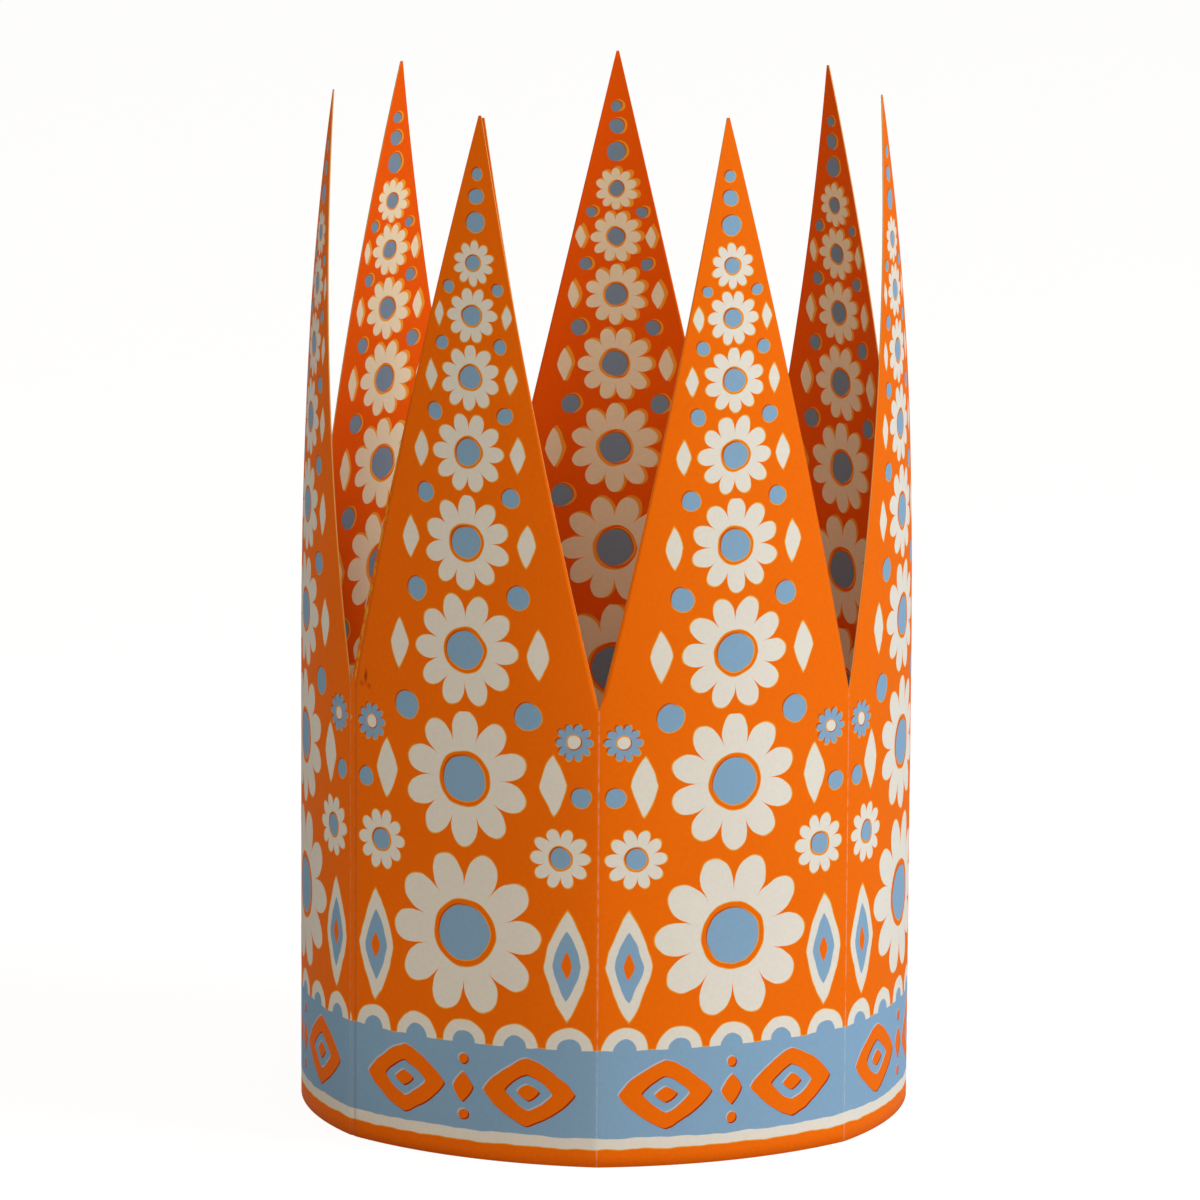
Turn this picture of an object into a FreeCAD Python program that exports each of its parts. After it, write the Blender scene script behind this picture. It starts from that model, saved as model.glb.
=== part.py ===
"""Paper crown: one folded strip of printed card, closed into a ring by its last panel.

The strip has eight equal panels, each with one tall pointed spike. Seven of them stand
in a ring, slightly rounded between the folds, and the eighth lies glued inside the
first, so the ring's front-left panel is two sheets thick.

Frame: millimetres, +Z up, origin at the middle of the ring on the surface it stands on,
front at -Y, with a fold straight at the front. Each body is drawn with the first panel
facing +X, and its Placement turns that panel to the front left.
"""
import FreeCAD, Part
import math
import os
import Sketcher

DRIVING_SIZES = [
    ("panels_round", 7, "panels standing in the ring"),
    ("panel_width", 80.0, "width of one panel, measured along the card"),
    ("card", 0.4, "thickness of the card"),
    ("fold_turn", 11.0, "degrees that the card turns at each fold"),
    ("fold_inside", 0.7, "inner radius of a fold where two sheets lie on each other"),
    ("band_height", 133.0, "height of the closed band, up to the foot of each notch"),
    ("crown_height", 300.0, "height of the spikes' tips"),
    ("spike_lean", 8.0, "how far each tip leans in from the band"),
    ("tip_width", 0.8, "width left at a spike's cut tip"),
    ("lap_slip", 2.0, "how far the inner panel's fold lies past the outer one's cut end"),
    ("lap_skew", 0.8, "how far the inner panel's tip sits towards its free end"),
    ("lap_drop", 0.6, "how much lower the inner panel's tip is"),
    ("trim", 6.0, "spare card outside the spikes' outlines, cut away"),
]

# Each panel is a shallow arc as long as the panel is wide, and half a fold at each end
# of it turns the rest of the way. A spike bends in on one large arc that starts upright
# at the top of the band. Angles are in degrees.
WORKED_OUT = [
    ("slip_angle", "360 * sizes.lap_slip / (sizes.panels_round * sizes.panel_width)"),
    ("panel_angle", "(360 - plan.slip_angle) / sizes.panels_round"),
    ("half_angle", "plan.panel_angle / 2"),
    ("half_arc", "plan.half_angle - sizes.fold_turn / 2"),
    ("arc_radius", "90 * sizes.panel_width / (pi * plan.half_arc)"),
    ("fold_round", "sizes.fold_inside + 2 * sizes.card"),
    ("fold_distance", "(plan.arc_radius - plan.fold_round) * sin(plan.half_arc) / sin(plan.half_angle)"),
    ("fold_centre_x", "plan.fold_distance * cos(plan.half_angle)"),
    ("fold_centre_y", "plan.fold_distance * sin(plan.half_angle)"),
    ("fold_radius", "plan.fold_distance + plan.fold_round"),
    ("arc_centre", "plan.fold_centre_x - (plan.arc_radius - plan.fold_round) * cos(plan.half_arc)"),
    ("panel_face", "plan.arc_centre + plan.arc_radius"),
    ("half_chord", "plan.fold_radius * sin(plan.half_angle)"),
    ("spike_height", "sizes.crown_height - sizes.band_height"),
    ("bend_radius", "(plan.spike_height ^ 2 + sizes.spike_lean ^ 2) / (2 * sizes.spike_lean)"),
    ("bend_axis", "plan.panel_face - plan.bend_radius"),
    ("bend_turn", "asin((plan.spike_height + sizes.trim / 2) / plan.bend_radius) / 1 deg"),
    ("tip_half", "sizes.tip_width / 2"),
    ("lap_start", "plan.half_angle + plan.slip_angle"),
    ("lap_foot", "plan.fold_radius * sin(plan.lap_start)"),
    ("lap_end_angle", "plan.half_arc - 180 * sizes.lap_slip / (pi * plan.arc_radius)"),
    ("lap_end", "(plan.arc_radius - sizes.card) * sin(plan.lap_end_angle)"),
    ("lap_tip_height", "sizes.crown_height - sizes.lap_drop"),
    ("clear_side", "plan.lap_foot + sizes.trim"),
    ("clear_top", "sizes.crown_height + sizes.trim"),
]

doc = FreeCAD.newDocument("PaperCrown")
sizes = doc.addObject("Spreadsheet::Sheet", "sizes")
for row, (alias, value, meaning) in enumerate(DRIVING_SIZES, start=1):
    sizes.set(f"A{row}", meaning)
    sizes.set(f"B{row}", str(value))
    sizes.setAlias(f"B{row}", alias)
doc.recompute()

plan = doc.addObject("App::VarSet", "plan")
for name, formula in WORKED_OUT:
    plan.addProperty("App::PropertyFloat", name, "Plan")
    plan.setExpression(name, formula)
doc.recompute()

Z_AXIS = FreeCAD.Vector(0, 0, 1)


def origin_item(body, role):
    """One of the body's own origin planes or axes."""
    return [item for item in body.Origin.OriginFeatures if item.Role == role][0]


def new_sketch(body, role, name, height=None):
    """An empty sketch on one of the body's origin planes, raised by a size if one is named."""
    sketch = body.newObject("Sketcher::SketchObject", name)
    sketch.AttachmentSupport = (origin_item(body, role), [""])
    sketch.MapMode = "FlatFace"
    if height:
        sketch.setExpression("AttachmentOffset.Base.z", height)
    return sketch


def degrees_point(centre, radius, angle):
    """The point at a radius and an angle about a centre."""
    turn = math.radians(angle)
    return FreeCAD.Vector(centre[0] + radius * math.cos(turn), centre[1] + radius * math.sin(turn), 0)


def add_arc(sketch, centre, radius, start, end):
    """A counter-clockwise arc between two angles; returns its number in the sketch."""
    circle = Part.Circle(FreeCAD.Vector(centre[0], centre[1], 0), Z_AXIS, radius)
    return sketch.addGeometry(Part.ArcOfCircle(circle, math.radians(start), math.radians(end)))


def value_of(formula):
    """What a formula of the sizes comes to, as a plain number."""
    return float(plan.evalExpression(formula))


def bind(sketch, kind, *where, to, name):
    """A named dimension of the sketch, bound to a formula of the sizes."""
    number = sketch.addConstraint(Sketcher.Constraint(kind, *where, value_of(to)))
    sketch.renameConstraint(number, name)
    sketch.setExpression(f"Constraints.{name}", to)


# A sketch's own numbers for the points of an edge, and for its origin and its X axis.
START, END, CENTRE = range(1, 4)
ORIGIN, X_LINE = (-1, 1), -1


def join(sketch, first, second):
    sketch.addConstraint(Sketcher.Constraint("Coincident", *first, *second))


def smooth(sketch, first, second):
    """Two arcs that run on into each other."""
    sketch.addConstraint(Sketcher.Constraint("Tangent", *first, *second))


def radial(sketch, line, centre):
    """An end line of the section, in line with the ring's middle and the fold's centre."""
    sketch.addConstraint(Sketcher.Constraint("PointOnObject", *ORIGIN, line))
    sketch.addConstraint(Sketcher.Constraint("PointOnObject", *centre, line))


def add_bend_axis(sketch):
    """The level line, parallel to the panel, that its spike bends about."""
    top = FreeCAD.Vector(plan.bend_axis, plan.half_chord, 0)
    bottom = FreeCAD.Vector(plan.bend_axis, -plan.half_chord, 0)
    axis = sketch.addGeometry(Part.LineSegment(top, bottom), True)
    sketch.addConstraint(Sketcher.Constraint("Vertical", axis))
    bind(sketch, "DistanceX", *ORIGIN, axis, START, to="plan.bend_axis", name="bend_axis")
    bind(sketch, "DistanceY", *ORIGIN, axis, START, to="plan.half_chord", name="axis_top")
    bind(sketch, "DistanceY", axis, END, axis, START, to="2 * plan.half_chord", name="axis_length")


def draw_panel(sketch):
    """A panel seen from above: a shallow arc with half a fold at each end, one card thick."""
    middle = (plan.arc_centre, 0)
    outer_radius = plan.arc_radius
    inner_radius = outer_radius - sizes.card
    outer = add_arc(sketch, middle, outer_radius, -plan.half_arc, plan.half_arc)
    inner = add_arc(sketch, middle, inner_radius, -plan.half_arc, plan.half_arc)
    sketch.addConstraint(Sketcher.Constraint("PointOnObject", outer, CENTRE, X_LINE))
    join(sketch, (outer, CENTRE), (inner, CENTRE))
    bind(sketch, "DistanceX", *ORIGIN, outer, CENTRE, to="plan.arc_centre", name="arc_centre")
    bind(sketch, "Radius", outer, to="plan.arc_radius", name="outer_radius")
    bind(sketch, "Radius", inner, to="plan.arc_radius - sizes.card", name="inner_radius")
    for side, name in ((1, "left"), (-1, "right")):
        fold = (plan.fold_centre_x, side * plan.fold_centre_y)
        ends = sorted((side * plan.half_arc, side * plan.half_angle))
        outer_fold = add_arc(sketch, fold, plan.fold_round, *ends)
        inner_fold = add_arc(sketch, fold, plan.fold_round - sizes.card, *ends)
        corners = [degrees_point(fold, radius, side * plan.half_angle)
                   for radius in (plan.fold_round, plan.fold_round - sizes.card)]
        end_line = sketch.addGeometry(Part.LineSegment(*corners))
        near, far = (START, END) if side > 0 else (END, START)
        join(sketch, (outer_fold, CENTRE), (inner_fold, CENTRE))
        smooth(sketch, (outer, far), (outer_fold, near))
        smooth(sketch, (inner, far), (inner_fold, near))
        join(sketch, (outer_fold, far), (end_line, START))
        join(sketch, (inner_fold, far), (end_line, END))
        radial(sketch, end_line, (outer_fold, CENTRE))
        bind(sketch, "Radius", outer_fold, to="plan.fold_round", name=f"{name}_fold")
        height = "plan.fold_centre_y" if side > 0 else "0 - plan.fold_centre_y"
        bind(sketch, "DistanceY", *ORIGIN, outer_fold, CENTRE, to=height, name=f"{name}_fold_height")


def draw_lap(sketch):
    """The inner panel seen from above: it steps in under the outer one's cut end, then follows it."""
    middle = (plan.arc_centre, 0)
    fold = (plan.fold_centre_x, -plan.fold_centre_y)
    lap_radius = plan.arc_radius - sizes.card
    lap_fold = plan.fold_round - sizes.card
    outer = add_arc(sketch, middle, lap_radius, -plan.half_arc, plan.lap_end_angle)
    inner = add_arc(sketch, middle, lap_radius - sizes.card, -plan.half_arc, plan.lap_end_angle)
    outer_fold = add_arc(sketch, fold, lap_fold, -plan.half_angle, -plan.half_arc)
    inner_fold = add_arc(sketch, fold, lap_fold - sizes.card, -plan.half_angle, -plan.half_arc)
    free_end = sketch.addGeometry(Part.LineSegment(
        degrees_point(middle, lap_radius, plan.lap_end_angle),
        degrees_point(middle, lap_radius - sizes.card, plan.lap_end_angle)))
    corner_out = degrees_point((0, 0), plan.fold_radius, -plan.lap_start)
    corner_in = degrees_point((0, 0), plan.fold_radius - sizes.card, -plan.lap_start)
    outer_step = sketch.addGeometry(Part.LineSegment(
        corner_out, degrees_point(fold, lap_fold, -plan.half_angle)))
    inner_step = sketch.addGeometry(Part.LineSegment(
        corner_in, degrees_point(fold, lap_fold - sizes.card, -plan.half_angle)))
    root = sketch.addGeometry(Part.LineSegment(corner_out, corner_in))
    guide = sketch.addGeometry(Part.LineSegment(
        degrees_point(fold, lap_fold, -plan.half_angle),
        degrees_point(fold, lap_fold - sizes.card, -plan.half_angle)), True)
    sketch.addConstraint(Sketcher.Constraint("PointOnObject", outer, CENTRE, X_LINE))
    join(sketch, (outer, CENTRE), (inner, CENTRE))
    bind(sketch, "DistanceX", *ORIGIN, outer, CENTRE, to="plan.arc_centre", name="arc_centre")
    bind(sketch, "Radius", outer, to="plan.arc_radius - sizes.card", name="outer_radius")
    bind(sketch, "Radius", inner, to="plan.arc_radius - 2 * sizes.card", name="inner_radius")
    join(sketch, (outer_fold, CENTRE), (inner_fold, CENTRE))
    smooth(sketch, (outer, START), (outer_fold, END))
    smooth(sketch, (inner, START), (inner_fold, END))
    bind(sketch, "Radius", outer_fold, to="plan.fold_round - sizes.card", name="outer_fold")
    bind(sketch, "DistanceY", *ORIGIN, outer_fold, CENTRE, to="0 - plan.fold_centre_y", name="fold_height")
    join(sketch, (outer_fold, START), (guide, START))
    join(sketch, (inner_fold, START), (guide, END))
    radial(sketch, guide, (outer_fold, CENTRE))
    join(sketch, (outer_step, END), (outer_fold, START))
    join(sketch, (inner_step, END), (inner_fold, START))
    join(sketch, (outer_step, START), (root, START))
    join(sketch, (inner_step, START), (root, END))
    for end, radius, name in ((START, "plan.fold_radius", "outer"),
                              (END, "(plan.fold_radius - sizes.card)", "inner")):
        away, sideways = f"{radius} * cos(plan.lap_start)", f"0 - {radius} * sin(plan.lap_start)"
        bind(sketch, "DistanceX", *ORIGIN, root, end, to=away, name=f"{name}_x")
        bind(sketch, "DistanceY", *ORIGIN, root, end, to=sideways, name=f"{name}_y")
    join(sketch, (outer, END), (free_end, START))
    join(sketch, (inner, END), (free_end, END))
    sketch.addConstraint(Sketcher.Constraint("PointOnObject", outer, CENTRE, free_end))
    bind(sketch, "DistanceY", *ORIGIN, free_end, START, to="plan.lap_end", name="free_end")


def draw_notches(sketch, corners):
    """Everything above a spike's two slanting edges, as one closed outline.

    Each corner is its place across the panel and its height, both as formulas.
    """
    places = [FreeCAD.Vector(value_of(across), value_of(height), 0) for across, height in corners]
    following = places[1:] + places[:1]
    lines = [sketch.addGeometry(Part.LineSegment(*ends)) for ends in zip(places, following)]
    for number, (line, next_line) in enumerate(zip(lines, lines[1:] + lines[:1])):
        across, height = corners[number]
        join(sketch, (line, END), (next_line, START))
        bind(sketch, "DistanceX", *ORIGIN, line, START, to=across, name=f"across_{number}")
        bind(sketch, "DistanceY", *ORIGIN, line, START, to=height, name=f"height_{number}")


def notch_corners(foot_right, tip_right, tip_left, foot_left, tip_height):
    """A cutting outline from the two feet and the two corners of a spike's tip."""
    band_top = "sizes.band_height"
    return [("0 - plan.clear_side", band_top), (foot_right, band_top), (tip_right, tip_height),
            (tip_left, tip_height), (foot_left, band_top), ("plan.clear_side", band_top),
            ("plan.clear_side", "plan.clear_top"), ("0 - plan.clear_side", "plan.clear_top")]


def make_panel(label, draw_section, corners):
    """One panel of the strip with its spike, as a body: band, bent spike, cut outline."""
    body = doc.addObject("PartDesign::Body", label)
    band_section = new_sketch(body, "XY_Plane", f"{label}_band_section")
    draw_section(band_section)
    band = body.newObject("PartDesign::Pad", f"{label}_band")
    band.Profile = band_section
    band.setExpression("Length", "sizes.band_height")
    doc.recompute()

    spike_section = new_sketch(body, "XY_Plane", f"{label}_spike_section", "sizes.band_height")
    add_bend_axis(spike_section)
    draw_section(spike_section)
    bent_spike = body.newObject("PartDesign::Revolution", f"{label}_bent_spike")
    bent_spike.Profile = spike_section
    bent_spike.ReferenceAxis = (spike_section, ["Axis0"])
    bent_spike.setExpression("Angle", "plan.bend_turn")
    doc.recompute()
    uncut_volume = bent_spike.Shape.Volume

    notches = new_sketch(body, "YZ_Plane", f"{label}_notches")
    draw_notches(notches, corners)
    cut_notches = body.newObject("PartDesign::Pocket", f"{label}_cut_notches")
    cut_notches.Profile = notches
    cut_notches.Type = "ThroughAll"
    cut_notches.Reversed = True
    doc.recompute()
    if cut_notches.Shape.Volume >= uncut_volume:
        raise RuntimeError(f"the notches of {label} cut nothing")
    return body


lap = make_panel("lap_panel", draw_lap, notch_corners(
    "0 - plan.lap_foot", "sizes.lap_skew - plan.tip_half", "sizes.lap_skew + plan.tip_half",
    "plan.lap_end", "plan.lap_tip_height"))

crown = make_panel("crown_strip", draw_panel, notch_corners(
    "0 - plan.half_chord", "0 - plan.tip_half", "plan.tip_half",
    "plan.half_chord", "sizes.crown_height"))

ring = crown.newObject("PartDesign::PolarPattern", "panels_in_a_ring")
ring.TransformMode = "Whole shape"
ring.Axis = (origin_item(crown, "Z_Axis"), [""])
ring.setExpression("Occurrences", "sizes.panels_round")
ring.setExpression("Angle", "plan.panel_angle * (sizes.panels_round - 1)")
crown.Tip = ring
doc.recompute()

glued_lap = crown.newObject("PartDesign::Boolean", "glued_lap")
glued_lap.Type = "Fuse"
glued_lap.setObjects([lap])
crown.Tip = glued_lap
crown.setExpression("Placement.Rotation.Angle", "0 - 90 - plan.half_angle")
doc.recompute()

for item in doc.Objects:
    if {"Invalid", "Error"} & set(item.State):
        raise RuntimeError(f"{item.Label} failed: {item.State}")
shape = crown.Shape
if shape.isNull() or not shape.isValid() or len(shape.Solids) != 1:
    raise RuntimeError("the strip is not one sound solid")

os.makedirs("parts", exist_ok=True)
shape.exportStep(f"parts/{crown.Label}.step")
box = shape.BoundBox
print(f"{crown.Label}: {box.XLength:.1f} x {box.YLength:.1f} x {box.ZLength:.1f} mm, "
      f"{shape.Volume:.0f} mm3, ring radius {plan.fold_radius:.2f} mm at the folds")
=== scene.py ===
"""Paper crown: a folded, printed strip of card, dressed for a plain studio picture.

The card is one sheet, worked out from the same sizes as the crown's solid. Its print is
drawn in the strip's own flat coordinates, so that it follows every fold and bend.
Lengths in the size lists are millimetres; meshes and lamps are in metres.
"""
import math

import bmesh
import bpy
import numpy as np
from mathutils import Matrix, Vector


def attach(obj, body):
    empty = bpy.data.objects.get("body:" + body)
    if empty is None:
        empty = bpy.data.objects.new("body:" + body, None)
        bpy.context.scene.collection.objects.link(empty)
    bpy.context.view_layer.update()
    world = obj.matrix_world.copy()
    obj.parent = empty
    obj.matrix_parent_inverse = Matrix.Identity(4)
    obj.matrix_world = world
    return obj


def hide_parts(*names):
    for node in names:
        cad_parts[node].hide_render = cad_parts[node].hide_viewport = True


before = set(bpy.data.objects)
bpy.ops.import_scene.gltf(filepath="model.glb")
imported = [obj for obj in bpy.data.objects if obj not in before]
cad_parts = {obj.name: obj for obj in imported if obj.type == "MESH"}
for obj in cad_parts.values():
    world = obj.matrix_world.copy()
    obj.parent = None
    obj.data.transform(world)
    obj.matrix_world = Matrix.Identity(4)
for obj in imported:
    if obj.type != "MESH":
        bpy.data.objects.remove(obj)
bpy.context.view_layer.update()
scene = bpy.context.scene
MM = 0.001

# The crown's sizes, as its solid has them.
PANELS_ROUND = 7
PANEL_WIDTH = 80.0
CARD = 0.4
FOLD_TURN = math.radians(11.0)
FOLD_INSIDE = 0.7
BAND_HEIGHT = 133.0
CROWN_HEIGHT = 300.0
SPIKE_LEAN = 8.0
TIP_WIDTH = 0.8
LAP_SLIP = 2.0
LAP_SKEW = 0.8
LAP_DROP = 0.6

# The ring's plan, worked out from them in the same way.
SLIP_ANGLE = 2 * math.pi * LAP_SLIP / (PANELS_ROUND * PANEL_WIDTH)
HALF_ANGLE = (2 * math.pi - SLIP_ANGLE) / (2 * PANELS_ROUND)
HALF_ARC = HALF_ANGLE - FOLD_TURN / 2
ARC_RADIUS = PANEL_WIDTH / (2 * HALF_ARC)
FOLD_ROUND = FOLD_INSIDE + 2 * CARD
FOLD_DISTANCE = (ARC_RADIUS - FOLD_ROUND) * math.sin(HALF_ARC) / math.sin(HALF_ANGLE)
FOLD_RADIUS = FOLD_DISTANCE + FOLD_ROUND
ARC_CENTRE = FOLD_DISTANCE * math.cos(HALF_ANGLE) - (ARC_RADIUS - FOLD_ROUND) * math.cos(HALF_ARC)
HALF_CHORD = FOLD_RADIUS * math.sin(HALF_ANGLE)
SPIKE_HEIGHT = CROWN_HEIGHT - BAND_HEIGHT
BEND_RADIUS = (SPIKE_HEIGHT**2 + SPIKE_LEAN**2) / (2 * SPIKE_LEAN)
BEND_AXIS = ARC_CENTRE + ARC_RADIUS - BEND_RADIUS
PITCH = PANEL_WIDTH + FOLD_TURN * FOLD_ROUND        # one panel and one fold, along the card
LAP_GAP = 0.03                                      # film of glue between the two sheets

ACROSS = 41                                         # columns of points over one panel
EDGE_PULL = 0.35                                    # how far they crowd towards its folds
BAND_ROWS = 37
SPIKE_ROWS = 60
TIP_PULL = 0.9                                      # below 1, a spike's rows crowd towards its tip
WELD = 0.02                                         # points closer than this become one


def section(across, depth):
    """How far a point of a panel's section lies from the ring's middle, seen from above.

    The panel is an arc about a centre on its own axis; near the folds the section is a
    small arc about the fold's centre. depth is how far inside the outer face the point is.
    """
    radius = ARC_RADIUS - depth
    arc_edge = radius * math.sin(HALF_ARC)
    on_arc = ARC_CENTRE + np.sqrt(radius**2 - np.clip(across, -arc_edge, arc_edge) ** 2)
    fold_radius = FOLD_ROUND - depth
    fold_x = FOLD_DISTANCE * math.cos(HALF_ANGLE)
    fold_y = FOLD_DISTANCE * math.sin(HALF_ANGLE)
    in_fold = np.clip(np.abs(across) - fold_y, 0, fold_radius * 0.99)
    on_fold = fold_x + np.sqrt(fold_radius**2 - in_fold**2)
    return np.where(np.abs(across) <= arc_edge, on_arc, on_fold)


def along_card(across, depth):
    """The distance along the card from the panel's middle to a point this far across it."""
    radius = ARC_RADIUS - depth
    arc_edge = radius * math.sin(HALF_ARC)
    on_arc = radius * np.arcsin(np.clip(across, -arc_edge, arc_edge) / radius)
    return on_arc + np.sign(across) * np.maximum(np.abs(across) - arc_edge, 0)


def bend_in(distance, height):
    """A panel's point at rest distance and height, after its spike has bent inwards.

    Up to the band's top nothing moves. Above it the height is kept and the point goes
    inwards along a circle about the level line at BEND_AXIS.
    """
    rise = np.maximum(height - BAND_HEIGHT, 0)
    arm = distance - BEND_AXIS
    return BEND_AXIS + np.sqrt(arm**2 - rise**2)


def columns(edge_low, edge_high):
    """Places across a panel from one edge to the other: even steps mixed with those of a sine.

    The sine's steps crowd at its two ends, so the places lie closer together at the folds.
    """
    even = np.linspace(-1, 1, ACROSS)
    eased = np.sin(even * math.pi / 2) * EDGE_PULL + even * (1 - EDGE_PULL)
    middle = (edge_low + edge_high) / 2
    reach = (edge_high - edge_low) / 2
    return middle[:, None] + reach[:, None] * eased[None, :]


def spike_edges(heights, feet, tip_centre, tip_height):
    """The two edges of a panel at each height: upright in the band, slanting to the tip above it."""
    share = np.clip((heights - BAND_HEIGHT) / (tip_height - BAND_HEIGHT), 0, 1)
    tip = (tip_centre - TIP_WIDTH / 2, tip_centre + TIP_WIDTH / 2)
    return [foot + (point - foot) * share for foot, point in zip(feet, tip)]


def panel_sheet(number, feet, depth, tip_centre=0.0, tip_height=CROWN_HEIGHT):
    """One panel's points and flat coordinates, as rows of a grid from its rim to its tip.

    A row lies at one height, and its points run evenly from one edge of the panel to the
    other. number counts the panels from the front left one; the strip runs to the right.
    """
    spike = BAND_HEIGHT + (tip_height - BAND_HEIGHT) * np.linspace(0, 1, SPIKE_ROWS) ** TIP_PULL
    heights = np.concatenate([np.linspace(0, BAND_HEIGHT, BAND_ROWS), spike[1:]])
    low, high = spike_edges(heights, feet, tip_centre, tip_height)
    across = columns(low, high)
    height = np.repeat(heights[:, None], across.shape[1], axis=1)
    distance = section(across, depth)
    if depth > 0:
        distance = step_under(across, distance, depth)
    inwards = bend_in(distance, height)
    turn = -math.pi / 2 - HALF_ANGLE + 2 * HALF_ANGLE * number
    points = np.stack([inwards * math.cos(turn) - across * math.sin(turn),
                       inwards * math.sin(turn) + across * math.cos(turn), height], axis=-1)
    flat = np.stack([along_card(across, depth) + number * PITCH, height], axis=-1)
    return points * MM, flat * MM


def step_under(across, distance, depth):
    """The inner panel's first stretch, sloping in under the outer one.

    Between the last panel's end and slope_end the distance changes evenly from the ring's
    outer face to depth inside it.
    """
    slope_end = HALF_CHORD * (1 - depth / FOLD_RADIUS)
    start_angle = HALF_ANGLE + SLIP_ANGLE
    slope_start = FOLD_RADIUS * math.sin(start_angle)
    end_distance = (FOLD_RADIUS - depth) * math.cos(HALF_ANGLE)
    share = np.clip((-across - slope_end) / (slope_start - slope_end), 0, 1)
    start_distance = FOLD_RADIUS * math.cos(start_angle)
    slope = end_distance + (start_distance - end_distance) * share
    return np.where(-across > slope_end, slope, distance)


def strip_mesh(name):
    """The whole strip as one sheet: seven panels in a ring and the eighth, inside the first."""
    grids = [panel_sheet(number, (-HALF_CHORD, HALF_CHORD), 0.0) for number in range(PANELS_ROUND)]
    lap_feet = (-FOLD_RADIUS * math.sin(HALF_ANGLE + SLIP_ANGLE), HALF_CHORD - LAP_SLIP)
    lap_points, lap_flat = panel_sheet(0, lap_feet, CARD + LAP_GAP, LAP_SKEW, CROWN_HEIGHT - LAP_DROP)
    lap_flat[..., 0] += PANELS_ROUND * PITCH * MM
    grids.append((lap_points, lap_flat))
    rows, count = grids[0][0].shape[:2]
    points = np.concatenate([grid.reshape(-1, 3) for grid, _ in grids])
    flats = np.concatenate([flat.reshape(-1, 2) for _, flat in grids])
    row, column = np.meshgrid(np.arange(rows - 1), np.arange(count - 1), indexing="ij")
    corner = (row * count + column).ravel()
    quads = np.stack([corner, corner + 1, corner + count + 1, corner + count], axis=1)
    faces = np.concatenate([quads + panel * rows * count for panel in range(len(grids))])
    mesh = bpy.data.meshes.new(name)
    mesh.from_pydata(points.tolist(), [], faces.tolist())
    layer = mesh.uv_layers.new(name="strip")
    layer.data.foreach_set("uv", flats[faces.ravel()].astype(np.float32).ravel())
    mesh.polygons.foreach_set("use_smooth", np.ones(len(faces), dtype=bool))
    return mesh


def weld_folds(mesh):
    """Neighbouring panels share their points at the folds of the band."""
    work = bmesh.new()
    work.from_mesh(mesh)
    bmesh.ops.remove_doubles(work, verts=work.verts, dist=WELD * MM)
    work.to_mesh(mesh)
    work.free()


def build_crown(materials):
    """The strip with its thickness: the outer face, the inner face and the cut edges."""
    mesh = strip_mesh("crown_card")
    weld_folds(mesh)
    crown = bpy.data.objects.new("crown_card", mesh)
    scene.collection.objects.link(crown)
    for material in materials:
        mesh.materials.append(material)
    thickness = crown.modifiers.new("card", "SOLIDIFY")
    thickness.thickness = (CARD - LAP_GAP) * MM
    thickness.offset = -1.0
    thickness.use_even_offset = False
    thickness.material_offset = 1
    thickness.material_offset_rim = 2
    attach(crown, "root")
    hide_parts("crown_strip")
    return crown


# The print. Places and sizes are millimetres in a panel's flat coordinates: across from
# the panel's middle, and up from the rim.
RIM_TOP = 5.0
LINE_TOP = 8.4
BAND_PRINT_TOP = 34.0
SCALLOPS_PER_PANEL = 5
SCALLOP_RADIUS = 6.8
SCALLOP_EYE = 0.52                # its blue middle, as a share of its radius
SCALLOP_SINK = 0.2                # how far its middle lies below the band's top

# The column of daisies shrinks by one ratio from row to row, towards a point above the tip.
VANISHING_HEIGHT = 330.0
FIRST_ROW = 264.0                 # how far the lowest daisy lies below that point
ROW_RATIO = 0.83
LAST_ROW = 7
PETALS = 10
PETAL_FOOT = 0.50                 # where the petals part, as a share of the daisy's radius
PETAL_POWER = 0.42                # the lower, the blunter the petals
EYE_RING = 0.42                   # the ground's ring round the daisy's blue eye, and the eye
EYE = 0.34
# Each size here is a share of how far its row lies below the vanishing point.
DAISY_RADIUS = 0.090
SIDE_DOT = (0.098, 0.0200)        # across, radius; halfway between two daisies
SIDE_LOZENGE = (0.123, 0.0175, 0.039)   # across, half width, half height
LOZENGE_ROWS = (1, 6)             # the first and the last row that have them

TIP_DOTS = [(269.8, 2.9), (277.4, 2.2), (283.6, 1.6)]   # height, radius
# Beside each fold, the same on both its sides: across and height of the middle, then sizes.
FOLD_LOZENGE = (31.2, 58.5, 6.6, 16.0)
LOZENGE_SHARES = (0.64, 0.24)     # the blue and the orange lozenge inside the white one
FOLD_DAISY = (29.2, 89.8, 8.8)
FOLD_DOT = (35.2, 107.5, 2.8)
NOTCH_DAISY = (33.0, 123.6, 5.4)
BAND_LOZENGES = 2                 # large orange lozenges across one panel of the blue band
BAND_LOZENGE_SIZE = (14.0, 10.2)
BAND_LOZENGE_SHARES = (1.0, 0.50, 0.24)   # the frame's outer and inner edge, and its filling
BAND_LOZENGE_HEIGHT = 20.8
SMALL_LOZENGE = (3.2, 4.6)        # half width, half height
SMALL_DOT = (8.2, 1.6)            # how far above and below the small lozenge, radius
BOW = 1.25                        # above 1, a lozenge's sides bow outwards
CUT_SHADOW = (-0.36, 0.36)        # cut shapes have a dark edge on one side and a pale one on the other
SHOW_THROUGH = (-0.8, 0.3)        # where the outer print shows through on the inner face

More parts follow.
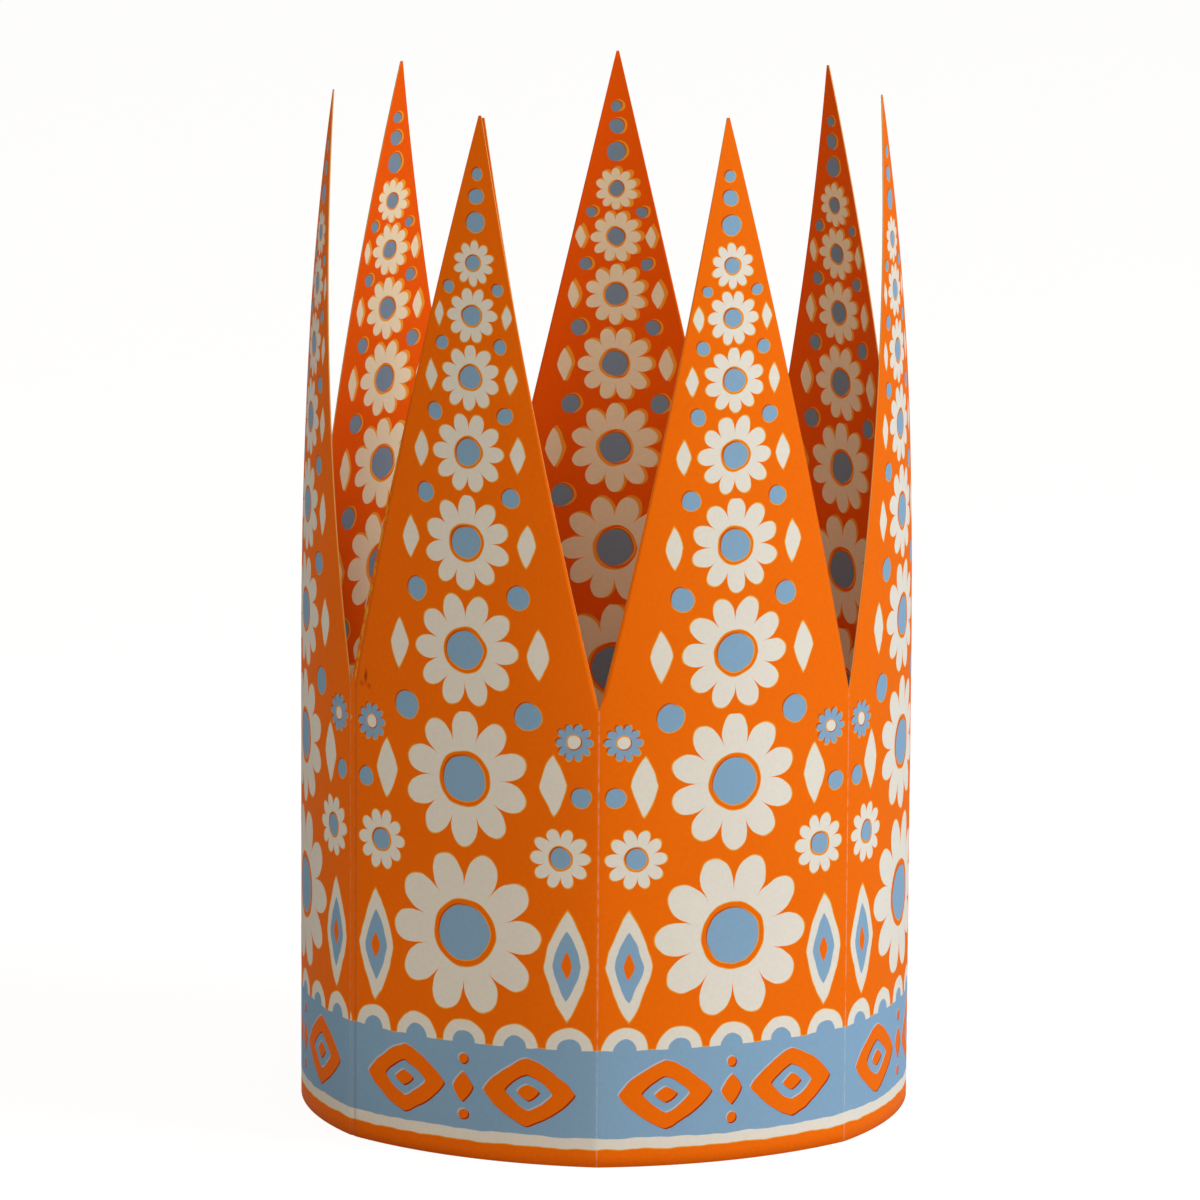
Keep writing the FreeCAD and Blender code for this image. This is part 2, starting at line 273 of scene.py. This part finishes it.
INKS_OUTSIDE = {
    "ground": (0.82, 0.147, 0.0),
    "rim": (0.80, 0.330, 0.022),
    "dark_cut": (0.33, 0.026, 0.0),
    "white": (0.73, 0.715, 0.655),
    "blue": (0.215, 0.378, 0.565),
    "pale_cut": (0.52, 0.60, 0.66),
}
# The inside carries the same print; its inks are the outside ones tinted warmer, with less green and blue:
# painted orange bounce light and painted shade of the ring's inside.
INKS_INSIDE_PAINTED_LIGHT = {
    "ground": (0.86, 0.105, 0.0),
    "rim": (0.88, 0.330, 0.030),
    "dark_cut": (0.40, 0.040, 0.0),
    "white": (0.84, 0.735, 0.520),
    "blue": (0.190, 0.275, 0.375),
    "pale_cut": (0.42, 0.45, 0.46),
}
DARK_EDGE = 0.75                  # how strongly the dark and the pale edges cover
PALE_EDGE = 0.7
CARD_CORE = (0.78, 0.73, 0.64)
STAINED_EDGE = (0.78, 0.40, 0.13)   # the cut edges, where the ink has soaked in
RIM_WIDTH = 0.28                  # the ochre line round the shapes of the field
WORN_FOLD = 0.34                  # how far the card shows through the ink on a fold
WOBBLE = 1.1                      # the whole reach of the hand-cut edges' wobble
WOBBLE_SCALE = 130.0
EDGE_LINE = 1.1                   # the worn line along the inner spike's left edge
EDGE_LINE_END = 0.75              # how far up the spike it runs
SOFT_EDGE = 0.09                  # half the width of a printed edge
# Small dark marks by the notch to the left of the front left spike: along and height of
# each mark's middle, then half its width and half its height.
NOTCH_MARKS = [(-35.3, 136.6, 0.55, 1.9), (-36.9, 134.2, 0.9, 0.8), (-34.2, 133.9, 0.8, 0.9)]
NOTCH_MARK_STRENGTHS = (0.8, 0.35, 0.35)
NOTCH_MARK_COLOUR = (0.20, 0.004, 0.0)

# The card's own surface, in noise on the object's metres.
MOTTLES = [(22.0, 2.0, 0.07), (950.0, 3.0, 0.13)]               # scale, detail, reach in tone
BUMPS = [(60.0, 2.0, 0.00010), (1900.0, 4.0, 0.000022)]         # scale, detail, height
BUMP_STRENGTH = 0.6
ROUGHNESS = 0.7
SHEEN = 0.07


class Nodes:
    """Short calls for building the node tree of a material or of the world."""

    def __init__(self, owner):
        owner.use_nodes = True
        self.owner = owner
        self.tree = owner.node_tree
        self.shader = self.tree.nodes.get("Principled BSDF")
        self.margin = 0.0         # how far every printed shape reaches past its edge

    def add(self, kind, **settings):
        node = self.tree.nodes.new(kind)
        for setting, value in settings.items():
            setattr(node, setting, value)
        return node

    def feed(self, socket, value):
        if isinstance(value, bpy.types.NodeSocket):
            self.tree.links.new(value, socket)
        else:
            socket.default_value = value

    def math(self, operation, *values, clamp=False):
        node = self.add("ShaderNodeMath", operation=operation, use_clamp=clamp)
        for socket, value in zip(node.inputs, values):
            self.feed(socket, value)
        return node.outputs[0]

    def noise(self, place, scale, detail=None, **settings):
        """A noise texture on the given coordinates."""
        node = self.add("ShaderNodeTexNoise", **settings)
        self.feed(node.inputs["Vector"], place)
        self.feed(node.inputs["Scale"], scale)
        if detail is not None:
            self.feed(node.inputs["Detail"], detail)
        return node.outputs

    def largest(self, values):
        result = values[0]
        for value in values[1:]:
            result = self.math("MAXIMUM", result, value)
        return result

    def inside(self, distance, softness=SOFT_EDGE):
        """1 where a signed distance in millimetres is below the margin, with a thin soft edge."""
        slope = 0.5 / softness
        return self.math("MULTIPLY_ADD", distance, -slope, 0.5 + slope * self.margin, clamp=True)

    def paint(self, ground, mask, colour):
        """One ink over what is printed already, where the mask is 1."""
        node = self.add("ShaderNodeMix", data_type="RGBA")
        self.feed(node.inputs[0], mask)
        for socket, value in ((node.inputs[6], ground), (node.inputs[7], colour)):
            self.feed(socket, value if isinstance(value, bpy.types.NodeSocket) else (*value, 1.0))
        return node.outputs[2]


def disc(nodes, across, up, middle, radius):
    """Signed distance to a disc: the distance to its middle, less its radius."""
    dx = nodes.math("SUBTRACT", across, middle[0])
    dy = nodes.math("SUBTRACT", up, middle[1])
    square = nodes.math("ADD", nodes.math("MULTIPLY", dx, dx), nodes.math("MULTIPLY", dy, dy))
    return nodes.math("SUBTRACT", nodes.math("SQRT", square), radius)


def lozenge(nodes, across, up, middle, half_sizes):
    """Rough signed distance to a lozenge with slightly bowed sides.

    The two distances to the middle are taken as shares of the half sizes and raised to
    the power BOW. Their sum is 1 on the edge; a power of 1 would make the sides straight.
    """
    powers = []
    for value, centre, half in zip((across, up), middle, half_sizes):
        from_middle = nodes.math("ABSOLUTE", nodes.math("SUBTRACT", value, centre))
        powers.append(nodes.math("POWER", nodes.math("MULTIPLY", from_middle, 1 / half), BOW))
    past_edge = nodes.math("SUBTRACT", nodes.math("ADD", *powers), 1.0)
    return nodes.math("MULTIPLY", past_edge, min(half_sizes) / BOW)


def daisy(nodes, across, up, radius, turn=0.0):
    """Signed distances to a daisy's petals and to its centre disc.

    With a the angle about the middle, a petal's edge rises from PETAL_FOOT of the radius to
    the whole of it with a power of how far the cosine of a, times half the petals, is from 0.
    """
    square = nodes.math("ADD", nodes.math("MULTIPLY", across, across), nodes.math("MULTIPLY", up, up))
    distance = nodes.math("SQRT", square)
    angle = nodes.math("ADD", nodes.math("ARCTAN2", up, across), turn)
    wave = nodes.math("ABSOLUTE", nodes.math("COSINE", nodes.math("MULTIPLY", angle, PETALS / 2)))
    reach = nodes.math("POWER", wave, PETAL_POWER)
    edge = nodes.math("MULTIPLY_ADD", reach, (1 - PETAL_FOOT) * radius, PETAL_FOOT * radius)
    slant = 0.75                  # the edge slants, so the true distance is shorter
    petals = nodes.math("MULTIPLY", nodes.math("SUBTRACT", distance, edge), slant)
    ring = nodes.math("SUBTRACT", EYE_RING * radius, distance)
    return nodes.math("MAXIMUM", petals, ring), nodes.math("SUBTRACT", distance, EYE * radius)


def daisy_rows(nodes, up, half_step):
    """A height told in shrinking rows: its row's number and size, and its place in the row.

    The row's number is the logarithm, to the base of the row ratio, of how far the height
    lies below the vanishing point, rounded; half_step moves the rows up by half of one.
    """
    below = nodes.math("SUBTRACT", VANISHING_HEIGHT, up)
    rows = nodes.math("LOGARITHM", nodes.math("MULTIPLY", below, 1 / FIRST_ROW), ROW_RATIO)
    number = nodes.math("FLOOR", nodes.math("ADD", rows, 0.0 if half_step else 0.5))
    highest = LAST_ROW - 1 if half_step else LAST_ROW
    number = nodes.math("MINIMUM", nodes.math("MAXIMUM", number, 0.0), float(highest))
    power = nodes.math("ADD", number, 0.5 if half_step else 0.0)
    row = nodes.math("MULTIPLY", nodes.math("POWER", ROW_RATIO, power), FIRST_ROW)
    place = nodes.math("DIVIDE", nodes.math("SUBTRACT", row, below), row)
    return number, row, place


def field_masks(nodes, panel, side, up):
    """White and blue masks of the shrinking rows: daisies, and beside them lozenges and dots."""
    number, row, place = daisy_rows(nodes, up, False)
    across = nodes.math("DIVIDE", panel, row)
    from_side = nodes.math("DIVIDE", side, row)
    turn = nodes.math("MULTIPLY", number, math.pi / PETALS)
    petals, centre = daisy(nodes, across, place, DAISY_RADIUS, turn)
    side_across, *half_sizes = SIDE_LOZENGE
    side_shape = lozenge(nodes, from_side, place, (side_across, 0.0), half_sizes)
    first, last = LOZENGE_ROWS
    in_rows = nodes.math("MULTIPLY", nodes.math("GREATER_THAN", number, first - 0.5),
                         nodes.math("LESS_THAN", number, last + 0.5))
    half_number, half_row, half_place = daisy_rows(nodes, up, True)
    dot_across, dot_radius = SIDE_DOT
    dot = disc(nodes, nodes.math("DIVIDE", side, half_row), half_place, (dot_across, 0.0), dot_radius)
    petal_mask = nodes.inside(nodes.math("MULTIPLY", petals, row))
    side_mask = nodes.inside(nodes.math("MULTIPLY", side_shape, row))
    eye_mask = nodes.inside(nodes.math("MULTIPLY", centre, row))
    dot_mask = nodes.inside(nodes.math("MULTIPLY", dot, half_row))
    above_first = nodes.math("GREATER_THAN", half_number, 0.5)
    white = [petal_mask, nodes.math("MULTIPLY", side_mask, in_rows)]
    return white, [eye_mask, nodes.math("MULTIPLY", dot_mask, above_first)]


def nested_lozenges(nodes, across, up, middle, half_sizes, shares):
    """Masks of lozenges inside one another, each a share of the first one's size."""
    sizes = [[share * half for half in half_sizes] for share in shares]
    return [nodes.inside(lozenge(nodes, across, up, middle, size)) for size in sizes]


def fold_masks(nodes, side, up):
    """White, blue and orange masks of the shapes that stand beside a fold."""
    across, height, *half_sizes = FOLD_LOZENGE
    lozenges = nested_lozenges(nodes, side, up, (across, height), half_sizes, (1.0, *LOZENGE_SHARES))
    daisies = []
    for across, height, radius in (FOLD_DAISY, NOTCH_DAISY):
        place = [nodes.math("SUBTRACT", side, across), nodes.math("SUBTRACT", up, height)]
        daisies.append([nodes.inside(distance) for distance in daisy(nodes, *place, radius)])
    (petals, centre), (notch_petals, notch_centre) = daisies
    across, height, radius = FOLD_DOT
    dot = nodes.inside(disc(nodes, side, up, (across, height), radius))
    return [lozenges[0], petals, notch_centre], [lozenges[1], centre, notch_petals, dot], lozenges[2]


def band_masks(nodes, panel, up):
    """The blue band with its white scallops, and the orange shapes on it."""
    band = nodes.inside(nodes.math("SUBTRACT", up, BAND_PRINT_TOP))
    step = PITCH / SCALLOPS_PER_PANEL
    steps = nodes.math("FRACT", nodes.math("MULTIPLY_ADD", panel, 1 / step, 0.5))
    in_step = nodes.math("MULTIPLY_ADD", steps, step, -step / 2)
    foot = (0.0, BAND_PRINT_TOP - SCALLOP_SINK)
    scallop, scallop_eye = [nodes.inside(disc(nodes, in_step, up, foot, SCALLOP_RADIUS * share))
                            for share in (1.0, SCALLOP_EYE)]
    cell = PITCH / BAND_LOZENGES
    cells = nodes.math("FRACT", nodes.math("MULTIPLY", panel, 1 / cell))
    in_cell = nodes.math("MULTIPLY_ADD", cells, cell, -cell / 2)
    middle = (0.0, BAND_LOZENGE_HEIGHT)
    outer, inner, filling = nested_lozenges(nodes, in_cell, up, middle,
                                            BAND_LOZENGE_SIZE, BAND_LOZENGE_SHARES)
    corner = nodes.math("ABSOLUTE", in_cell)
    dot_rise, dot_radius = SMALL_DOT
    small = [nodes.inside(lozenge(nodes, corner, up, (cell / 2, BAND_LOZENGE_HEIGHT), SMALL_LOZENGE))]
    for rise in (-dot_rise, dot_rise):
        dot = disc(nodes, corner, up, (cell / 2, BAND_LOZENGE_HEIGHT + rise), dot_radius)
        small.append(nodes.inside(dot))
    frame_only = nodes.math("MULTIPLY", outer, nodes.math("SUBTRACT", 1.0, inner))
    off_fold = nodes.math("LESS_THAN", nodes.math("ABSOLUTE", panel), PITCH / 4)
    small_only = nodes.math("MULTIPLY", nodes.largest(small), off_fold)
    return band, scallop, scallop_eye, nodes.largest([frame_only, filling, small_only])


def moved(place, shift):
    return [value + change for value, change in zip(place, shift)]


def print_masks(nodes, strip_u, strip_v, shift):
    """Masks of every printed shape, shifted by some millimetres.

    The flat coordinate along the strip is folded into one panel's, so that every panel
    carries the same print, and mirrored where the left and right halves are alike.
    """
    along = nodes.math("SUBTRACT", strip_u, shift[0])
    up = nodes.math("SUBTRACT", strip_v, shift[1])
    shares = nodes.math("MULTIPLY_ADD", along, 1 / PITCH, 0.5)
    panel = nodes.math("MULTIPLY_ADD", nodes.math("FRACT", shares), PITCH, -PITCH / 2)
    side = nodes.math("ABSOLUTE", panel)
    white, blue = field_masks(nodes, panel, side, up)
    fold_white, fold_blue, inlay = fold_masks(nodes, side, up)
    blue += [nodes.inside(disc(nodes, panel, up, (0.0, height), radius)) for height, radius in TIP_DOTS]
    band, scallop, scallop_eye, orange = band_masks(nodes, panel, up)
    return {"white": nodes.largest(white + fold_white + [scallop]),
            "blue": nodes.largest(blue + fold_blue + [scallop_eye]),
            "inlay": inlay, "band": band, "orange": orange}


def strip_coordinates(nodes):
    """The flat coordinates in millimetres, with the slight wobble of hand-cut edges."""
    coordinates = nodes.add("ShaderNodeUVMap", uv_map="strip").outputs[0]
    wobble = nodes.add("ShaderNodeSeparateColor")
    nodes.feed(wobble.inputs[0], nodes.noise(coordinates, WOBBLE_SCALE, 1.5, noise_dimensions="2D")["Color"])
    place = nodes.add("ShaderNodeSeparateXYZ")
    nodes.feed(place.inputs[0], coordinates)
    plain = [nodes.math("MULTIPLY", place.outputs[number], 1 / MM) for number in (0, 1)]
    wobbled = []
    for number, value in enumerate(plain):
        shift = nodes.math("MULTIPLY_ADD", wobble.outputs[number], WOBBLE, -WOBBLE / 2)
        wobbled.append(nodes.math("ADD", value, shift))
    return coordinates, plain, wobbled


def notch_marks(nodes, along, up, marks):
    """Small dark marks with soft edges, the first of them the darkest."""
    masks = []
    for (place, height, *half_sizes), strength in zip(marks, NOTCH_MARK_STRENGTHS):
        mark = lozenge(nodes, along, up, (place, height), half_sizes)
        masks.append(nodes.math("MULTIPLY", nodes.inside(mark, 0.35), strength))
    return masks


def printed_card(name, inks, offset, rim_shift, marks):
    """Matt card with the print.

    The flat inks lie over each other, from the ground up: the rims round the shapes, their
    dark edges, white, blue, the cut shapes in the band, the stripes at the crown's rim, and
    then wear. offset moves the whole print, and rim_shift the rims under it.
    """
    nodes = Nodes(bpy.data.materials.new(name))
    coordinates, plain, wobbled = strip_coordinates(nodes)
    along, up = plain
    masks = print_masks(nodes, *wobbled, offset)
    shifted = print_masks(nodes, *wobbled, moved(offset, CUT_SHADOW))
    nodes.margin = RIM_WIDTH
    rims = print_masks(nodes, *wobbled, moved(offset, rim_shift))
    nodes.margin = 0.0
    rim = nodes.largest([rims["white"], rims["blue"], rims["band"]])
    colour = nodes.paint(inks["ground"], rim, inks["rim"])
    colour = nodes.paint(colour, nodes.math("MULTIPLY", shifted["blue"], DARK_EDGE), inks["dark_cut"])
    for shapes, ink in (("white", "white"), ("blue", "blue"), ("inlay", "ground"), ("band", "blue")):
        colour = nodes.paint(colour, masks[shapes], inks[ink])
    cut = nodes.math("MULTIPLY", masks["orange"], masks["band"])
    cut_open = nodes.math("MULTIPLY", cut, shifted["orange"])
    cut_rim = nodes.math("MULTIPLY", shifted["orange"], masks["band"])
    pale = nodes.math("MULTIPLY", cut_rim, PALE_EDGE)
    for ink, mask in (("pale_cut", pale), ("dark_cut", cut), ("ground", cut_open)):
        colour = nodes.paint(colour, mask, inks[ink])
    rim_height = nodes.math("SUBTRACT", wobbled[1], offset[1])
    for ink, top in (("white", LINE_TOP), ("rim", RIM_TOP + RIM_WIDTH), ("ground", RIM_TOP)):
        colour = nodes.paint(colour, nodes.inside(nodes.math("SUBTRACT", rim_height, top)), inks[ink])
    worn = nodes.math("MULTIPLY", fold_wear(nodes, along, up, coordinates), WORN_FOLD)
    colour = nodes.paint(colour, worn, CARD_CORE)
    colour = nodes.paint(colour, lap_edge(nodes, along, up, coordinates), inks["rim"])
    # Small dark marks by the notch to the left of the front left spike.
    for mask in notch_marks(nodes, *wobbled, marks):
        colour = nodes.paint(colour, mask, NOTCH_MARK_COLOUR)
    nodes.feed(nodes.shader.inputs["Base Color"], mottle(nodes, colour))
    finish_card(nodes)
    return nodes.owner


def lap_edge(nodes, along, up, coordinates):
    """The broken ochre line along the inner spike's left edge, which looks out past the outer one.

    The edge runs straight from the inner spike's left foot to its tip. The line is where a
    point lies less than EDGE_LINE to the right of that edge.
    """
    share = nodes.math("MULTIPLY_ADD", up, 1 / SPIKE_HEIGHT, -BAND_HEIGHT / SPIKE_HEIGHT)
    foot = PANELS_ROUND * PITCH - PANEL_WIDTH / 2 - LAP_SLIP / 2
    tip = PANELS_ROUND * PITCH + LAP_SKEW - TIP_WIDTH / 2
    edge = nodes.math("MULTIPLY_ADD", share, tip - foot, foot)
    from_edge = nodes.math("SUBTRACT", along, edge)
    line = nodes.inside(nodes.math("SUBTRACT", from_edge, EDGE_LINE), 0.2)
    dashes = nodes.noise(coordinates, 300.0, noise_dimensions="2D")["Fac"]
    broken = nodes.math("MULTIPLY_ADD", dashes, 9.0, -4.0, clamp=True)
    in_spike = nodes.math("MULTIPLY", nodes.math("GREATER_THAN", share, 0.0),
                          nodes.math("LESS_THAN", share, EDGE_LINE_END))
    on_lap = nodes.math("GREATER_THAN", along, (PANELS_ROUND - 0.5) * PITCH)
    on_spike = nodes.math("MULTIPLY", in_spike, on_lap)
    return nodes.math("MULTIPLY", nodes.math("MULTIPLY", line, broken), on_spike)


def fold_wear(nodes, along, up, coordinates):
    """How worn the ink is: a thin broken line along each fold of the band."""
    shares = nodes.math("FRACT", nodes.math("MULTIPLY_ADD", along, 1 / PITCH, 0.5))
    from_middle = nodes.math("ABSOLUTE", nodes.math("SUBTRACT", shares, 0.5))
    from_fold = nodes.math("MULTIPLY_ADD", from_middle, -PITCH, PITCH / 2)
    line = nodes.inside(nodes.math("SUBTRACT", from_fold, 0.16), 0.22)
    breaks = nodes.noise(coordinates, 420.0, 4.0, noise_dimensions="2D")["Fac"]
    broken = nodes.math("MULTIPLY_ADD", breaks, 3.0, -0.9, clamp=True)
    in_band = nodes.inside(nodes.math("SUBTRACT", up, BAND_HEIGHT), 1.0)
    return nodes.math("MULTIPLY", nodes.math("MULTIPLY", line, broken), in_band)


def mottle(nodes, colour):
    """Ink and card are never quite even: broad soft patches and a fine fibre speckle."""
    place = nodes.add("ShaderNodeTexCoord").outputs["Object"]
    factors = []
    for scale, detail, reach in MOTTLES:
        patches = nodes.noise(place, scale, detail)["Fac"]
        factors.append(nodes.math("MULTIPLY_ADD", patches, reach, 1 - reach / 2))
    factor = nodes.math("MULTIPLY", *factors)
    grey = nodes.add("ShaderNodeCombineColor")
    for socket in grey.inputs:
        nodes.feed(socket, factor)
    mix = nodes.add("ShaderNodeMix", data_type="RGBA", blend_type="MULTIPLY")
    nodes.feed(mix.inputs[0], 1.0)
    nodes.feed(mix.inputs[6], colour)
    nodes.feed(mix.inputs[7], grey.outputs[0])
    return mix.outputs[2]


def finish_card(nodes):
    """The card's dull sheen and its surface: fibres and a faint waviness, as bump."""
    nodes.feed(nodes.shader.inputs["Roughness"], ROUGHNESS)
    nodes.feed(nodes.shader.inputs["Specular IOR Level"], SHEEN)
    place = nodes.add("ShaderNodeTexCoord").outputs["Object"]
    normal = None
    for scale, detail, height in BUMPS:
        bump = nodes.add("ShaderNodeBump")
        nodes.feed(bump.inputs["Strength"], BUMP_STRENGTH)
        nodes.feed(bump.inputs["Distance"], height)
        nodes.feed(bump.inputs["Height"], nodes.noise(place, scale, detail)["Fac"])
        if normal:
            nodes.feed(bump.inputs["Normal"], normal)
        normal = bump.outputs["Normal"]
    nodes.feed(nodes.shader.inputs["Normal"], normal)


def cut_edge():
    """The card's cut edges, stained by the ink."""
    nodes = Nodes(bpy.data.materials.new("card_cut_edge"))
    nodes.feed(nodes.shader.inputs["Base Color"], mottle(nodes, (*STAINED_EDGE, 1.0)))
    finish_card(nodes)
    return nodes.owner


crown = build_crown([
    printed_card("print_outside", INKS_OUTSIDE, (0.0, 0.0), (0.0, 0.0), NOTCH_MARKS),
    # The inner face: the print in inks with painted bounce light and painted shade.
    printed_card("print_inside_painted_light", INKS_INSIDE_PAINTED_LIGHT, (0.3, -0.4), SHOW_THROUGH, []),
    cut_edge(),
])


# The picture: the camera's place was worked out from the crown's corners in the photo.
CAMERA_DISTANCE = 2.509
CAMERA_HEIGHT = 0.615
CAMERA_TURN = 0.020               # radians that the camera stands to the right of the front fold
CAMERA_PITCH = 0.184
CAMERA_ROLL = 0.006
CAMERA_SIDE = -0.0018
SENSOR = 36.0
PHOTO_WIDTH = 1200
FOCAL_PIXELS = 8715
FAR_CLIP = 50

WHITE = (1.0, 1.0, 1.0)
ROOM_LIGHT = (0.31, 0.275, 0.235)
FLOOR_REACH = 6.0
FLOOR_COLOUR = (0.8, 0.8, 0.8, 1.0)
FLOOR_ROUGHNESS = 0.9
FLOOR_GLOW = 0.80                 # how much of the floor's look is glow, and the rest its shadow
GLOW_STRENGTH = 1.15


def aim_camera():
    """A long lens a little above the crown, looking slightly down at it."""
    camera = bpy.data.objects.new("camera", bpy.data.cameras.new("camera"))
    scene.collection.objects.link(camera)
    level = Vector((math.cos(CAMERA_TURN), math.sin(CAMERA_TURN), 0))
    ahead = Vector((-math.sin(CAMERA_TURN), math.cos(CAMERA_TURN), 0))
    look = ahead * math.cos(CAMERA_PITCH) - Vector((0, 0, 1)) * math.sin(CAMERA_PITCH)
    rise = level.cross(look)
    right = level * math.cos(CAMERA_ROLL) + rise * math.sin(CAMERA_ROLL)
    up = rise * math.cos(CAMERA_ROLL) - level * math.sin(CAMERA_ROLL)
    place = level * CAMERA_SIDE - ahead * CAMERA_DISTANCE + Vector((0, 0, CAMERA_HEIGHT))
    turn = Matrix((right, up, -look)).transposed()
    camera.matrix_world = Matrix.Translation(place) @ turn.to_4x4()
    camera.data.sensor_width = SENSOR
    camera.data.lens = FOCAL_PIXELS / PHOTO_WIDTH * SENSOR
    camera.data.clip_end = FAR_CLIP
    scene.camera = camera


def soft_lamp(name, place, width, power, colour):
    """A square lamp that faces the crown's middle."""
    data = bpy.data.lights.new(name, "AREA")
    data.size = width
    data.energy = power
    data.color = colour
    lamp = bpy.data.objects.new(name, data)
    scene.collection.objects.link(lamp)
    lamp.location = place
    aim = Vector((0, 0, CROWN_HEIGHT / 2 * MM)) - Vector(place)
    lamp.rotation_euler = aim.to_track_quat("-Z", "Y").to_euler()


def plain_rays(nodes):
    """1 for what the camera sees straight, in a mirror or through glass."""
    rays = nodes.add("ShaderNodeLightPath")
    return nodes.largest([rays.outputs[kind] for kind in
                          ("Is Camera Ray", "Is Glossy Ray", "Is Transmission Ray")])


def white_room():
    """All round the crown: white to look at, and a warm, dim light that falls on it."""
    world = bpy.data.worlds.new("room")
    scene.world = world
    nodes = Nodes(world)
    colour = nodes.paint(ROOM_LIGHT, plain_rays(nodes), WHITE)
    nodes.feed(nodes.tree.nodes["Background"].inputs["Color"], colour)


def white_floor():
    """A square floor that is nearly white to look at and keeps a light shadow."""
    corners = [(x * FLOOR_REACH, y * FLOOR_REACH, 0) for x, y in ((-1, -1), (1, -1), (1, 1), (-1, 1))]
    mesh = bpy.data.meshes.new("floor")
    mesh.from_pydata(corners, [], [(0, 1, 2, 3)])
    floor = bpy.data.objects.new("floor", mesh)
    scene.collection.objects.link(floor)
    nodes = Nodes(bpy.data.materials.new("white_floor"))
    nodes.feed(nodes.shader.inputs["Base Color"], FLOOR_COLOUR)
    nodes.feed(nodes.shader.inputs["Roughness"], FLOOR_ROUGHNESS)
    glow = nodes.add("ShaderNodeEmission")
    nodes.feed(glow.inputs["Strength"], GLOW_STRENGTH)
    mix = nodes.add("ShaderNodeMixShader")
    nodes.feed(mix.inputs[0], nodes.math("MULTIPLY", plain_rays(nodes), FLOOR_GLOW))
    nodes.feed(mix.inputs[1], nodes.shader.outputs[0])
    nodes.feed(mix.inputs[2], glow.outputs[0])
    nodes.feed(nodes.tree.nodes["Material Output"].inputs["Surface"], mix.outputs[0])
    mesh.materials.append(nodes.owner)


aim_camera()
white_room()
white_floor()
soft_lamp("window_right", (2.5, -0.8, 1.15), 0.9, 47.0, (0.96, 1.0, 1.03))
soft_lamp("room_front", (-0.35, -2.3, 1.7), 1.0, 19.5, (1.0, 0.85, 0.68))
scene.view_settings.view_transform = "Standard"
